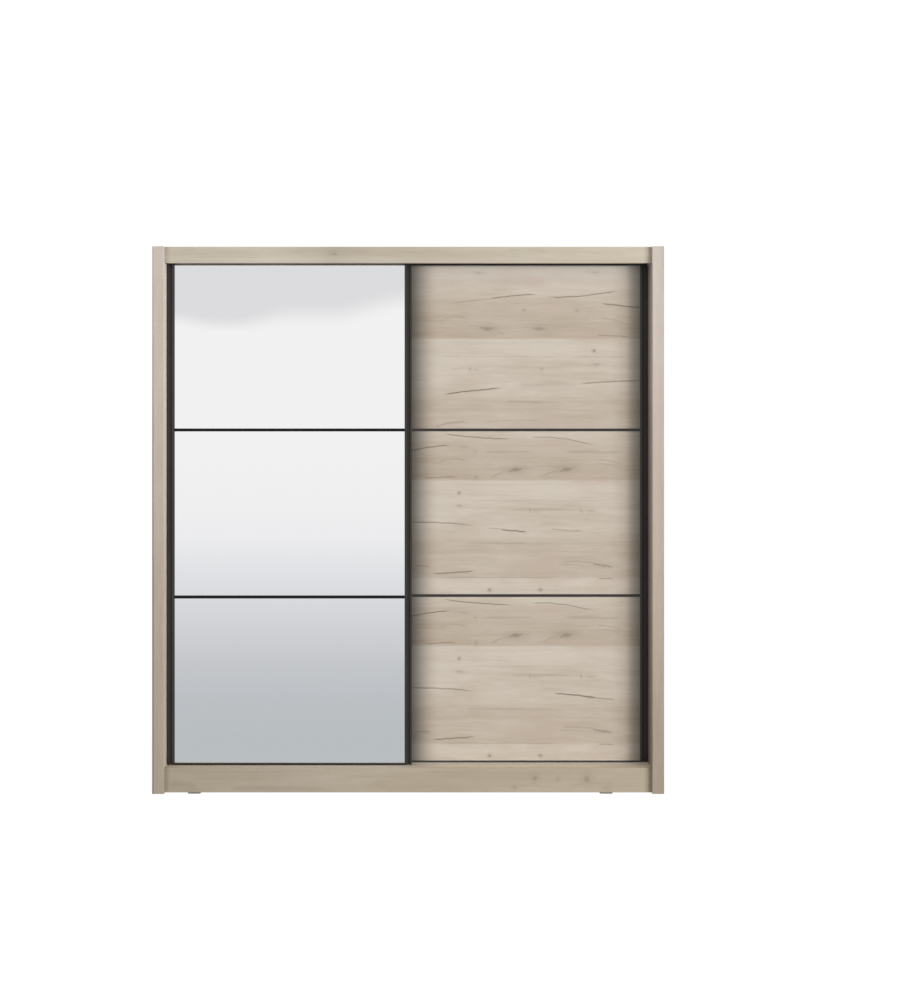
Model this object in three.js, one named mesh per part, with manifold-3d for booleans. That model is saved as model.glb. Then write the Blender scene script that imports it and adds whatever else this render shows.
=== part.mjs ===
// Two-door sliding wardrobe: a board carcass with a mirror door on the front track and a
// wood-decor door on the rear track. Millimetres, +Z up, the front faces -Y, and the origin
// is on the floor at the middle of the footprint.
import * as THREE from "three";
import { mergeVertices } from "three/addons/utils/BufferGeometryUtils.js";
import Module from "manifold-3d";

const wasm = await Module();
wasm.setup();

// Carcass
const WIDTH = 2000;
const HEIGHT = 2140;
const DEPTH = 620;
const BOARD = 18;
const FRONT_EDGE = 46; // each side is doubled along its front edge, to this thickness
const FRONT_ZONE = 118; // depth of the doubled strip, where the doors run
const BACK_BOARD = 3;
const BACK_RECESS = 1.5; // the back panels lie this far inside the sides' rear edges
const REBATE = 8; // width of the rebate in each side that takes the back panel
const FASCIA_HEIGHT = 64;
const FASCIA_BOARD = 16;
const FASCIA_SETBACK = 12;
const FLOOR_TOP = 99; // top of the bottom panel
const FOOT_HEIGHT = 2.5;
const FOOT_SIZE = [50, 24];
const FOOT_X = [-837, 775];
const REAR_PLINTH_INSET = 11;
const JOINT_STRIP = { width: 24, cap: 1.2, web: 2 };

// Interior
const PARTITION_SETBACK = 6; // behind the doubled strip
const SHELF_SETBACK = 12;
const SHELF_PLAY = 1;
const HAT_SHELF_TOP = 1800;
const LOOSE_SHELVES = 3;
const RAIL_DROP = 42; // hanging rail axis below the hat shelf
const RAIL_SECTION = [15, 30];
const RAIL_WALL = 1.2;
const RAIL_Y = 55;
const SOCKET_PLATE = 3;
const SOCKET_DEPTH = 15;
const SOCKET_WALL = 3;
const FIT = 0.3; // clearance between a round or turned piece and its neighbour
const BRACKET = { leg: 40, width: 30, steel: 2, hole: 2.75, x: 490 };

// Doors
const DOOR_WIDTH = 965;
const DOOR_DEPTH = 30;
const DOOR_PITCH = 38; // front face of one door to front face of the other
const DOOR_FRONT = -268; // front face of the mirror door
const DOOR_SIDE_GAP = 3;
const DOOR_BOTTOM = 101.5;
const DOOR_TOP = 2098;
const STILE = 28;
const WALL = 1.6;
const SLOT = { front: WALL, back: 11.8, depth: 8 }; // the groove that holds the panels
const GRIP = { from: 7, to: 18, depth: 6.5 }; // the finger groove along a stile
const LIP = 4; // bottom rail in front of the panel
const TOP_RAIL = 22;
const TOP_SLOT_END = DOOR_TOP - 9; // how far up the panels' groove goes in the top rail
const BOTTOM_RAIL = 40;
const DIVIDER = 11;
const DIVIDER_Z = [762.5, 1422];
const WOOD_PANEL = 10;
const MIRROR_GLASS = 4;

// Running gear
const TRACK_FLANGE = 10.5;
const TRACK_THICKNESS = 8;
const GROOVE = { width: 9, depth: 6 };
const WHEEL_RADIUS = 16;
const WHEEL_INSET = 62; // wheel axis from the door's edge
const WHEEL_LINE = 21; // wheel's middle plane behind the door's front face
const WHEEL_SEGMENTS = 24;
const AXLE_RADIUS = 2.4;
const CARRIAGE_LENGTH = 64;
const WHEEL_SLOT = { width: 9, length: 38, height: 27 };
const FIN = 1.6; // wall of the upper track
const UPPER_TRACK_HEIGHT = 36;
const GUIDE = { length: 48, stem: 20, stemHeight: 5, headHeight: 9 };

// Planes that several parts share
const INNER = WIDTH / 2 - FRONT_EDGE;
const CARCASS_INNER = WIDTH / 2 - BOARD;
const FRONT = -DEPTH / 2;
const BACK_FACE = DEPTH / 2 - BACK_RECESS; // rear face of the back panels
const BACK = BACK_FACE - BACK_BOARD; // rear edge of the carcass boards
const ZONE_BACK = FRONT + FRONT_ZONE;
const FASCIA_BACK = FRONT + FASCIA_SETBACK + FASCIA_BOARD;
const TOP_UNDERSIDE = HEIGHT - BOARD;
const FLOOR_UNDERSIDE = FLOOR_TOP - BOARD;
const GROOVE_FLOOR = FLOOR_TOP - GROOVE.depth;
const AXLE_Z = GROOVE_FLOOR + FIT + WHEEL_RADIUS;
const WHEEL_Y = [DOOR_FRONT + WHEEL_LINE, DOOR_FRONT + DOOR_PITCH + WHEEL_LINE];
const TRACK_Y = [
  WHEEL_Y[0] - GROOVE.width / 2 - TRACK_FLANGE,
  WHEEL_Y[1] + GROOVE.width / 2 + TRACK_FLANGE,
];

const LOOKS = {
  board: { color: 0xc6b9a8, roughness: 0.6, metalness: 0 },
  inside: { color: 0xbfb3a3, roughness: 0.65, metalness: 0 },
  hardboard: { color: 0xe8e4dc, roughness: 0.7, metalness: 0 },
  frame: { color: 0x34322f, roughness: 0.45, metalness: 0.6 },
  mirror: { color: 0xdfe3e4, roughness: 0.02, metalness: 1 },
  track: { color: 0xb4aa9b, roughness: 0.4, metalness: 0.8 },
  steel: { color: 0xb8bbbd, roughness: 0.3, metalness: 1 },
  plastic: { color: 0x2b2b2c, roughness: 0.6, metalness: 0 },
  wheel: { color: 0xe6e4de, roughness: 0.5, metalness: 0 },
  glide: { color: 0x9a958a, roughness: 0.7, metalness: 0 },
};

const wardrobe = new THREE.Group();

function add(parent, name, geometry, look) {
  const mesh = new THREE.Mesh(geometry, new THREE.MeshStandardMaterial(LOOKS[look]));
  mesh.name = name;
  parent.add(mesh);
  return mesh;
}

// Shape helpers

function block([x0, x1], [y0, y1], [z0, z1]) {
  const geometry = new THREE.BoxGeometry(x1 - x0, y1 - y0, z1 - z0);
  return geometry.translate((x0 + x1) / 2, (y0 + y1) / 2, (z0 + z1) / 2);
}

function outline(points) {
  return new THREE.Shape(points.map(([a, b]) => new THREE.Vector2(a, b)));
}

function rectangle([a0, a1], [b0, b1]) {
  return outline([[a0, b0], [a1, b0], [a1, b1], [a0, b1]]);
}

// A shape drawn in (x, y), extruded along Z.
function prismZ(shape, [z0, z1]) {
  const geometry = new THREE.ExtrudeGeometry(shape, { depth: z1 - z0, bevelEnabled: false });
  return geometry.translate(0, 0, z0);
}

// A shape drawn in (y, z), extruded along X.
function prismX(shape, [x0, x1]) {
  const settings = { depth: x1 - x0, bevelEnabled: false, curveSegments: 8 };
  const turn = new THREE.Matrix4().makeBasis(
    new THREE.Vector3(0, 1, 0),
    new THREE.Vector3(0, 0, 1),
    new THREE.Vector3(1, 0, 0),
  );
  return new THREE.ExtrudeGeometry(shape, settings).applyMatrix4(turn).translate(x0, 0, 0);
}

function solid(geometry) {
  const bare = geometry.clone();
  bare.deleteAttribute("normal");
  bare.deleteAttribute("uv");
  const merged = mergeVertices(bare, 1e-3);
  const vertProperties = merged.attributes.position.array;
  const triVerts = Uint32Array.from(merged.index.array);
  return new wasm.Manifold(new wasm.Mesh({ numProp: 3, vertProperties, triVerts }));
}

function cut(geometry, ...tools) {
  const result = tools.reduce((left, tool) => left.subtract(solid(tool)), solid(geometry));
  return fromSolid(result);
}

function join(first, second) {
  return fromSolid(solid(first).add(solid(second)));
}

function fromSolid(body) {
  const mesh = body.getMesh();
  const geometry = new THREE.BufferGeometry();
  geometry.setAttribute("position", new THREE.BufferAttribute(mesh.vertProperties, 3));
  geometry.setIndex(new THREE.BufferAttribute(mesh.triVerts, 1));
  geometry.computeVertexNormals();
  return geometry;
}

// Carcass

function addSides() {
  for (const [name, side] of [["side_panel_left", -1], ["side_panel_right", 1]]) {
    const section = outline([
      [side * WIDTH / 2, FRONT],
      [side * INNER, FRONT],
      [side * INNER, ZONE_BACK],
      [side * CARCASS_INNER, ZONE_BACK],
      [side * CARCASS_INNER, BACK],
      [side * (CARCASS_INNER + REBATE), BACK],
      [side * (CARCASS_INNER + REBATE), DEPTH / 2],
      [side * WIDTH / 2, DEPTH / 2],
    ]);
    add(wardrobe, name, prismZ(section, [0, HEIGHT]), "board");
  }
}

// The top and bottom panels are narrower in the front zone, between the doubled strips.
function crossPanel(z) {
  const section = outline([
    [-INNER, FASCIA_BACK],
    [INNER, FASCIA_BACK],
    [INNER, ZONE_BACK],
    [CARCASS_INNER, ZONE_BACK],
    [CARCASS_INNER, BACK],
    [-CARCASS_INNER, BACK],
    [-CARCASS_INNER, ZONE_BACK],
    [-INNER, ZONE_BACK],
  ]);
  return prismZ(section, z);
}

function addCrossPanels() {
  add(wardrobe, "top_panel", crossPanel([TOP_UNDERSIDE, HEIGHT]), "board");
  const trackRebate = block(
    [-WIDTH / 2, WIDTH / 2],
    TRACK_Y,
    [FLOOR_TOP - TRACK_THICKNESS, FLOOR_TOP + 1],
  );
  const bottom = cut(crossPanel([FLOOR_UNDERSIDE, FLOOR_TOP]), trackRebate);
  add(wardrobe, "bottom_panel", bottom, "board");
}

function addFrontBoards() {
  const faceY = [FRONT + FASCIA_SETBACK, FASCIA_BACK];
  const fascia = block([-INNER, INNER], faceY, [HEIGHT - FASCIA_HEIGHT, HEIGHT]);
  add(wardrobe, "top_fascia", fascia, "board");
  add(wardrobe, "front_plinth", block([-INNER, INNER], faceY, [FOOT_HEIGHT, FLOOR_TOP]), "board");
}

function addBase() {
  const rearY = [BACK - REAR_PLINTH_INSET - FASCIA_BOARD, BACK - REAR_PLINTH_INSET];
  const rear = block([-CARCASS_INNER, CARCASS_INNER], rearY, [0, FLOOR_UNDERSIDE]);
  add(wardrobe, "rear_plinth", rear, "board");
  const brace = block([-BOARD / 2, BOARD / 2], [FASCIA_BACK, rearY[0]], [0, FLOOR_UNDERSIDE]);
  add(wardrobe, "plinth_brace", brace, "board");
  const footY = FASCIA_BACK - FOOT_SIZE[1] / 2;
  for (const [name, x] of [["plinth_foot_left", FOOT_X[0]], ["plinth_foot_right", FOOT_X[1]]]) {
    const foot = add(wardrobe, name, roundedPad(FOOT_SIZE, FOOT_HEIGHT), "glide");
    foot.position.set(x, footY, 0);
  }
}

// A flat pad with round corners, standing on z = 0.
function roundedPad([length, depth], height) {
  const corner = 6;
  const x = length / 2;
  const y = depth / 2;
  const pad = new THREE.Shape();
  pad.moveTo(corner - x, -y);
  pad.lineTo(x - corner, -y);
  pad.absarc(x - corner, corner - y, corner, -Math.PI / 2, 0);
  pad.absarc(x - corner, y - corner, corner, 0, Math.PI / 2);
  pad.absarc(corner - x, y - corner, corner, Math.PI / 2, Math.PI);
  pad.absarc(corner - x, corner - y, corner, Math.PI, 1.5 * Math.PI);
  const settings = { depth: height, bevelEnabled: false, curveSegments: 4 };
  return new THREE.ExtrudeGeometry(pad, settings);
}

// Two hardboard sheets in the sides' rebates, joined behind the partition by a T-section strip.
function addBack() {
  const { width, cap, web } = JOINT_STRIP;
  const edge = CARCASS_INNER + REBATE - 0.5;
  const z = [FLOOR_UNDERSIDE - BOARD, HEIGHT - 2];
  const y = [BACK, BACK_FACE];
  add(wardrobe, "back_panel_left", block([-edge, -web / 2], y, z), "hardboard");
  add(wardrobe, "back_panel_right", block([web / 2, edge], y, z), "hardboard");
  const strip = outline([
    [-web / 2, BACK],
    [web / 2, BACK],
    [web / 2, BACK_FACE],
    [width / 2, BACK_FACE],
    [width / 2, BACK_FACE + cap],
    [-width / 2, BACK_FACE + cap],
    [-width / 2, BACK_FACE],
    [-web / 2, BACK_FACE],
  ]);
  add(wardrobe, "back_joint_strip", prismZ(strip, z), "plastic");
}

// Interior

function addPartitionAndShelves() {
  const partitionY = [ZONE_BACK + PARTITION_SETBACK, BACK];
  const half = BOARD / 2;
  const partition = block([-half, half], partitionY, [FLOOR_TOP, TOP_UNDERSIDE]);
  add(wardrobe, "partition", partition, "inside");

  const shelfY = [ZONE_BACK + SHELF_SETBACK, BACK];
  const hatZ = [HAT_SHELF_TOP - BOARD, HAT_SHELF_TOP];
  add(wardrobe, "hat_shelf_left", block([-CARCASS_INNER, -half], shelfY, hatZ), "inside");
  add(wardrobe, "hat_shelf_right", block([half, CARCASS_INNER], shelfY, hatZ), "inside");

  const looseX = [half + SHELF_PLAY, CARCASS_INNER - SHELF_PLAY];
  const looseY = [ZONE_BACK + 2 * SHELF_SETBACK, BACK - SHELF_PLAY];
  const bay = (hatZ[0] - FLOOR_TOP - LOOSE_SHELVES * BOARD) / (LOOSE_SHELVES + 1);
  for (let i = 0; i < LOOSE_SHELVES; i++) {
    const z = FLOOR_TOP + bay + i * (bay + BOARD);
    add(wardrobe, `shelf_${i + 1}`, block(looseX, looseY, [z, z + BOARD]), "inside");
  }
}

// An upright oval with straight sides and round ends, drawn in (y, z) around its centre.
function oval([width, height], Curve) {
  const radius = width / 2;
  const rise = height / 2 - radius;
  const shape = new Curve();
  shape.moveTo(radius, -rise);
  shape.lineTo(radius, rise);
  shape.absarc(0, rise, radius, 0, Math.PI);
  shape.lineTo(-radius, -rise);
  shape.absarc(0, -rise, radius, Math.PI, 2 * Math.PI);
  return shape;
}

function ovalTube(outer, wall, x) {
  const shape = oval(outer, THREE.Shape);
  shape.holes.push(oval([outer[0] - 2 * wall, outer[1] - 2 * wall], THREE.Path));
  return prismX(shape, x);
}

function addHangingRail() {
  const railZ = HAT_SHELF_TOP - BOARD - RAIL_DROP;
  const ends = [-CARCASS_INNER, -BOARD / 2];
  const inside = [ends[0] + SOCKET_PLATE, ends[1] - SOCKET_PLATE];
  const place = (mesh) => mesh.position.set(0, RAIL_Y, railZ);
  place(add(wardrobe, "hanging_rail", ovalTube(RAIL_SECTION, RAIL_WALL, inside), "steel"));

  const cupBore = RAIL_SECTION.map((size) => size + 2 * FIT);
  const cup = cupBore.map((size) => size + 2 * SOCKET_WALL);
  const flange = cup.map((size) => size + 10);
  const sockets = [
    ["rail_socket_left", [ends[0], inside[0]], [ends[0], ends[0] + SOCKET_DEPTH]],
    ["rail_socket_right", [inside[1], ends[1]], [ends[1] - SOCKET_DEPTH, ends[1]]],
  ];
  for (const [name, plateX, cupX] of sockets) {
    const plate = prismX(oval(flange, THREE.Shape), plateX);
    const collar = ovalTube(cup, SOCKET_WALL, cupX);
    place(add(wardrobe, name, join(plate, collar), "steel"));
  }
}

// Steel angles under the top panel that tie the wardrobe to the wall.
function addWallBrackets() {
  const { leg, width, steel, hole, x } = BRACKET;
  const across = [-width / 2, width / 2];
  const lying = block(across, [-leg, 0], [-steel, 0]);
  const standing = block(across, [-steel, 0], [-leg, 0]);
  const drillUp = new THREE.CylinderGeometry(hole, hole, 4 * steel, 16);
  drillUp.rotateX(Math.PI / 2).translate(0, -leg / 2, 0);
  const drillBack = new THREE.CylinderGeometry(hole, hole, 4 * steel, 16);
  drillBack.translate(0, 0, -leg / 2);
  for (const [name, side] of [["wall_bracket_left", -1], ["wall_bracket_right", 1]]) {
    const angle = cut(join(lying, standing), drillUp, drillBack);
    const bracket = add(wardrobe, name, angle, "steel");
    bracket.position.set(side * x, BACK, TOP_UNDERSIDE);
  }
}

// Tracks

function addTracks() {
  const [front, rear] = WHEEL_Y;
  const half = GROOVE.width / 2;
  const low = FLOOR_TOP - TRACK_THICKNESS;
  const lower = outline([
    [TRACK_Y[0], low],
    [TRACK_Y[1], low],
    [TRACK_Y[1], FLOOR_TOP],
    [rear + half, FLOOR_TOP],
    [rear + half, GROOVE_FLOOR],
    [rear - half, GROOVE_FLOOR],
    [rear - half, FLOOR_TOP],
    [front + half, FLOOR_TOP],
    [front + half, GROOVE_FLOOR],
    [front - half, GROOVE_FLOOR],
    [front - half, FLOOR_TOP],
    [TRACK_Y[0], FLOOR_TOP],
  ]);
  add(wardrobe, "lower_track", prismX(lower, [-INNER, INNER]), "track");

  // An E lying on its back: a plate under the top panel with three fins hanging from it.
  const middle = DOOR_FRONT + (DOOR_DEPTH + DOOR_PITCH) / 2;
  const finTip = TOP_UNDERSIDE - UPPER_TRACK_HEIGHT;
  const plate = TOP_UNDERSIDE - FIN;
  const points = [];
  for (const centre of [middle - DOOR_PITCH, middle, middle + DOOR_PITCH]) {
    points.push([centre - FIN / 2, plate], [centre - FIN / 2, finTip]);
    points.push([centre + FIN / 2, finTip], [centre + FIN / 2, plate]);
  }
  points[0][1] = TOP_UNDERSIDE;
  points[points.length - 1][1] = TOP_UNDERSIDE;
  add(wardrobe, "upper_track", prismX(outline(points), [-INNER, INNER]), "frame");
}

// Doors. Each is drawn in its own frame: x from its left edge, y from its front face.

// The stile's section: a box profile with a finger groove in front and a slot for the panels.
function stileSection(mirrored) {
  const flip = (x) => (mirrored ? DOOR_WIDTH - x : x);
  const slotX = STILE - SLOT.depth;
  const points = [[0, 0], [GRIP.from, 0]];
  const steps = 8;
  const middle = (GRIP.from + GRIP.to) / 2;
  const reach = (GRIP.to - GRIP.from) / 2;
  for (let i = 1; i < steps; i++) {
    const angle = Math.PI * (1 - i / steps);
    points.push([middle + reach * Math.cos(angle), GRIP.depth * Math.sin(angle)]);
  }
  points.push([GRIP.to, 0], [STILE, 0], [STILE, SLOT.front], [slotX, SLOT.front]);
  points.push([slotX, SLOT.back], [STILE, SLOT.back], [STILE, DOOR_DEPTH], [0, DOOR_DEPTH]);
  const section = outline(points.map(([x, y]) => [flip(x), y]));
  const chamberX = [flip(WALL), flip(STILE - WALL)].sort((a, b) => a - b);
  section.holes.push(rectangle(chamberX, [SLOT.back + WALL, DOOR_DEPTH - WALL]));
  return section;
}

function addFrame(door, kind) {
  const stileZ = [DOOR_BOTTOM, DOOR_TOP];
  add(door, `${kind}_door_stile_left`, prismZ(stileSection(false), stileZ), "frame");
  add(door, `${kind}_door_stile_right`, prismZ(stileSection(true), stileZ), "frame");
  const between = [STILE, DOOR_WIDTH - STILE];

  const topLow = DOOR_TOP - TOP_RAIL;
  const top = outline([
    [0, topLow],
    [SLOT.front, topLow],
    [SLOT.front, TOP_SLOT_END],
    [SLOT.back, TOP_SLOT_END],
    [SLOT.back, topLow],
    [DOOR_DEPTH, topLow],
    [DOOR_DEPTH, DOOR_TOP],
    [0, DOOR_TOP],
  ]);
  const chamberY = [SLOT.back + WALL, DOOR_DEPTH - WALL];
  top.holes.push(rectangle(chamberY, [topLow + WALL, DOOR_TOP - WALL]));
  add(door, `${kind}_door_top_rail`, prismX(top, between), "frame");

  const railTop = DOOR_BOTTOM + BOTTOM_RAIL;
  const bottom = outline([
    [0, DOOR_BOTTOM],
    [SLOT.back + WALL, DOOR_BOTTOM],
    [SLOT.back + WALL, railTop - WALL],
    [DOOR_DEPTH - WALL, railTop - WALL],
    [DOOR_DEPTH - WALL, DOOR_BOTTOM],
    [DOOR_DEPTH, DOOR_BOTTOM],
    [DOOR_DEPTH, railTop],
    [SLOT.back, railTop],
    [SLOT.back, DOOR_BOTTOM + WALL],
    [SLOT.front, DOOR_BOTTOM + WALL],
    [SLOT.front, DOOR_BOTTOM + LIP],
    [0, DOOR_BOTTOM + LIP],
  ]);
  add(door, `${kind}_door_bottom_rail`, prismX(bottom, between), "frame");

  DIVIDER_Z.forEach((z, i) => {
    const flange = DIVIDER / 2;
    const web = WALL / 2;
    const section = outline([
      [0, z - flange],
      [SLOT.front, z - flange],
      [SLOT.front, z - web],
      [SLOT.back, z - web],
      [SLOT.back, z - flange],
      [SLOT.back + WALL, z - flange],
      [SLOT.back + WALL, z + flange],
      [SLOT.back, z + flange],
      [SLOT.back, z + web],
      [SLOT.front, z + web],
      [SLOT.front, z + flange],
      [0, z + flange],
    ]);
    add(door, `${kind}_door_divider_${i + 1}`, prismX(section, between), "frame");
  });
}

// Three panels one above the other, each standing on the web below it.
function addPanels(door, kind, thickness, y, look) {
  const play = 1;
  const web = WALL / 2;
  const slotEnd = STILE - SLOT.depth + play / 2;
  const x = [slotEnd, DOOR_WIDTH - slotEnd];
  const floors = [DOOR_BOTTOM + WALL, DIVIDER_Z[0] + web, DIVIDER_Z[1] + web];
  const ceilings = [DIVIDER_Z[0] - web, DIVIDER_Z[1] - web, TOP_SLOT_END];
  floors.forEach((floor, i) => {
    const panel = block(x, [y, y + thickness], [floor, ceilings[i] - play]);
    add(door, `${kind}_panel_${i + 1}`, panel, look);
  });
}

// Wheel profile: bore, hub, thin web and a crowned tread, turned around Y.
function wheelGeometry() {
  const bore = AXLE_RADIUS + FIT;
  const side = [
    [bore, 3.8],
    [5, 3.8],
    [5.6, 2],
    [11, 2],
    [11.6, 3.4],
    [WHEEL_RADIUS - 0.9, 3.4],
    [WHEEL_RADIUS, 2.2],
  ];
  const back = side.map(([r, y]) => [r, -y]);
  const profile = [...back, ...side.reverse(), back[0]];
  const points = profile.map(([r, y]) => new THREE.Vector2(r, y));
  return new THREE.LatheGeometry(points, WHEEL_SEGMENTS);
}

function addRunningGear(door, kind) {
  const ends = [["left", WHEEL_INSET], ["right", DOOR_WIDTH - WHEEL_INSET]];
  const across = [SLOT.back + WALL, DOOR_DEPTH - WALL];
  const z = [DOOR_BOTTOM, DOOR_BOTTOM + BOTTOM_RAIL - WALL];
  for (const [end, x] of ends) {
    const half = CARRIAGE_LENGTH / 2;
    const body = block([x - half, x + half], across, z);
    const slot = block(
      [x - WHEEL_SLOT.length / 2, x + WHEEL_SLOT.length / 2],
      [WHEEL_LINE - WHEEL_SLOT.width / 2, WHEEL_LINE + WHEEL_SLOT.width / 2],
      [DOOR_BOTTOM - 1, DOOR_BOTTOM + WHEEL_SLOT.height],
    );
    const bore = AXLE_RADIUS + FIT;
    const drill = new THREE.CylinderGeometry(bore, bore, 2 * DOOR_DEPTH, 16);
    drill.translate(x, WHEEL_LINE, AXLE_Z);
    add(door, `${kind}_door_carriage_${end}`, cut(body, slot, drill), "plastic");

    const axleLength = across[1] - across[0] - 2 * FIT;
    const pin = new THREE.CylinderGeometry(AXLE_RADIUS, AXLE_RADIUS, axleLength, 16);
    add(door, `${kind}_door_axle_${end}`, pin, "steel").position.set(x, WHEEL_LINE, AXLE_Z);
    const wheel = add(door, `${kind}_door_wheel_${end}`, wheelGeometry(), "wheel");
    wheel.position.set(x, WHEEL_LINE, AXLE_Z);

    add(door, `${kind}_door_guide_${end}`, guideGeometry(x), "plastic");
  }
}

// A T-shaped slider on top of the door, which runs between two fins of the upper track.
function guideGeometry(x) {
  const middle = DOOR_DEPTH / 2;
  const stem = GUIDE.stem / 2;
  const head = (DOOR_PITCH - FIN) / 2 - FIT;
  const neck = DOOR_TOP + GUIDE.stemHeight;
  const crown = neck + GUIDE.headHeight;
  const section = outline([
    [middle - stem, DOOR_TOP],
    [middle + stem, DOOR_TOP],
    [middle + stem, neck],
    [middle + head, neck],
    [middle + head, crown - 3],
    [middle + head - 3, crown],
    [middle - head + 3, crown],
    [middle - head, crown - 3],
    [middle - head, neck],
    [middle - stem, neck],
  ]);
  return prismX(section, [x - GUIDE.length / 2, x + GUIDE.length / 2]);
}

function addDoor(kind, left, front) {
  const door = new THREE.Group();
  door.position.set(left, front, 0);
  wardrobe.add(door);
  addFrame(door, kind);
  const slotWidth = SLOT.back - SLOT.front;
  if (kind === "mirror") {
    const y = SLOT.front + (slotWidth - MIRROR_GLASS) / 2;
    addPanels(door, "mirror", MIRROR_GLASS, y, "mirror");
  } else {
    addPanels(door, "wood", WOOD_PANEL, SLOT.front, "board");
  }
  addRunningGear(door, kind);
}

addSides();
addCrossPanels();
addFrontBoards();
addBase();
addBack();
addPartitionAndShelves();
addHangingRail();
addWallBrackets();
addTracks();
addDoor("mirror", DOOR_SIDE_GAP - INNER, DOOR_FRONT);
addDoor("wood", INNER - DOOR_SIDE_GAP - DOOR_WIDTH, DOOR_FRONT + DOOR_PITCH);

export default wardrobe;
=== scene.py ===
"""Looks of the sliding door wardrobe: profiles, gaskets, fittings, materials, light and camera.

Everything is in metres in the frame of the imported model: +Z up and the front towards -Y.
"""

import math
from itertools import product

import bmesh
import bpy
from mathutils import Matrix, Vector

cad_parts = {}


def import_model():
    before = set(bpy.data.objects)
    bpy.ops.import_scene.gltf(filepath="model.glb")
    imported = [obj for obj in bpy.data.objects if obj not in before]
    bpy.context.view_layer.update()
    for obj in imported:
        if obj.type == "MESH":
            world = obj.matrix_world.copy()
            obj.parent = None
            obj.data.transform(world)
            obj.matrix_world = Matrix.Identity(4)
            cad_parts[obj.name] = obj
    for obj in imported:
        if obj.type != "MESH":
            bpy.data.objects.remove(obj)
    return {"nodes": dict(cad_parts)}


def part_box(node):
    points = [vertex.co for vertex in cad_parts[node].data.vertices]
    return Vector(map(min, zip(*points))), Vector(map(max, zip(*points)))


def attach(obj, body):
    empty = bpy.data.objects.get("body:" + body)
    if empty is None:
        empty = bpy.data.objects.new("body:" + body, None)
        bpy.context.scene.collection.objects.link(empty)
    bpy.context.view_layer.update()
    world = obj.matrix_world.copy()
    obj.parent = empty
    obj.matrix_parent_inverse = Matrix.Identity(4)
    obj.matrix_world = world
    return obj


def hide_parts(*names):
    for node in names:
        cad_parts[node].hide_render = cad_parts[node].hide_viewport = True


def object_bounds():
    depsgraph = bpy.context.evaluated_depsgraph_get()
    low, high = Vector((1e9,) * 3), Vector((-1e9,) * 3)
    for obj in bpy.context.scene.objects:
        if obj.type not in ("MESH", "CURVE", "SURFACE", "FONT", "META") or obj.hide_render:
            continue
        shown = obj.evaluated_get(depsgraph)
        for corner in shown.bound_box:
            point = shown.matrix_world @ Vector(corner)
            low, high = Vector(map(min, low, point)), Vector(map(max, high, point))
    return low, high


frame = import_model()
CAD_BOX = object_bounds()
NODES = frame["nodes"]

MM = 0.001
KINDS = ("mirror", "wood")
SIDES = ("left", "right")

# Door profiles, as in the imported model
WALL = 1.6 * MM
SLOT_BACK = 11.8 * MM
SLOT_DEPTH = 8 * MM
GRIP_FROM, GRIP_TO, GRIP_DEPTH = 7 * MM, 18 * MM, 6.5 * MM
LIP = 4 * MM
RAIL_SLOT_TOP = 9 * MM  # from the top of the top rail down to the top of its slot
SOCKET_PLATE = 3 * MM
BRACKET_STEEL = 2 * MM

# Sizes that only this model has
SMOOTH_ANGLE = math.radians(32)
EDGE_ROUND = 0.45 * MM
FLAT_ANGLE = math.radians(155)  # corners more open than this aren't rounded
PIN_ROUND = 0.3 * MM
CROSS_ARM = 0.27  # half the width of an arm of a cross recess, as a share of its length
GASKET_LIP = 0.4 * MM
BRUSH_BACK, BRUSH_HALF = 0.6 * MM, 3 * MM


# ---- mesh helpers


def middle_of(node):
    low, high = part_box(node)
    return (low + high) / 2


def finish_mesh(bm, name, body, material):
    """Turns a bmesh into a smooth-shaded piece that rides on a body."""
    bmesh.ops.recalc_face_normals(bm, faces=bm.faces)
    mesh = bpy.data.meshes.new(name)
    bm.to_mesh(mesh)
    bm.free()
    mesh.materials.append(material)
    mesh.polygons.foreach_set("use_smooth", [True] * len(mesh.polygons))
    mesh.set_sharp_from_angle(angle=SMOOTH_ANGLE)
    piece = bpy.data.objects.new(name, mesh)
    bpy.context.scene.collection.objects.link(piece)
    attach(piece, body)
    return piece


def fillet(points):
    """The outline with its corners rounded. Corners that are nearly straight stay as they are."""
    steps = 3
    corners = [Vector(p) for p in points]
    rounded = []
    for i, corner in enumerate(corners):
        before = corners[i - 1] - corner
        after = corners[(i + 1) % len(corners)] - corner
        reach = min(EDGE_ROUND, 0.45 * before.length, 0.45 * after.length)
        if before.angle(after) > FLAT_ANGLE:
            rounded.append(corner)
            continue
        start = corner + before.normalized() * reach
        end = corner + after.normalized() * reach
        for k in range(steps + 1):
            t = k / steps
            rounded.append((1 - t) ** 2 * start + 2 * t * (1 - t) * corner + t * t * end)
    return rounded


def place_on(axis, a, b, along):
    """A section point: (y, z) for a bar along X, (x, y) for a bar along Z."""
    return (along, a, b) if axis == "X" else (a, b, along)


def bar(bm, loops, axis, span):
    """A closed bar with the given section: an outline, then any holes through it."""
    cap_edges = ([], [])
    for loop in loops:
        ends = [[bm.verts.new(place_on(axis, a, b, s)) for a, b in loop] for s in span]
        count = len(loop)
        for i in range(count):
            j = (i + 1) % count
            bm.faces.new((ends[0][i], ends[0][j], ends[1][j], ends[1][i]))
        for ring, edges in zip(ends, cap_edges):
            edges += [bm.edges.get((ring[i], ring[(i + 1) % count])) for i in range(count)]
    for edges in cap_edges:
        bmesh.ops.triangle_fill(bm, edges=edges, use_beauty=True)


def rings(bm, rows):
    """Closed skin through rows of points, each row a ring; the first and last rows are capped."""
    made = [[bm.verts.new(p) for p in row] for row in rows]
    count = len(made[0])
    for low, high in zip(made, made[1:]):
        for i in range(count):
            j = (i + 1) % count
            bm.faces.new((low[i], low[j], high[j], high[i]))
    bm.faces.new(made[0])
    bm.faces.new(made[-1])


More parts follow.
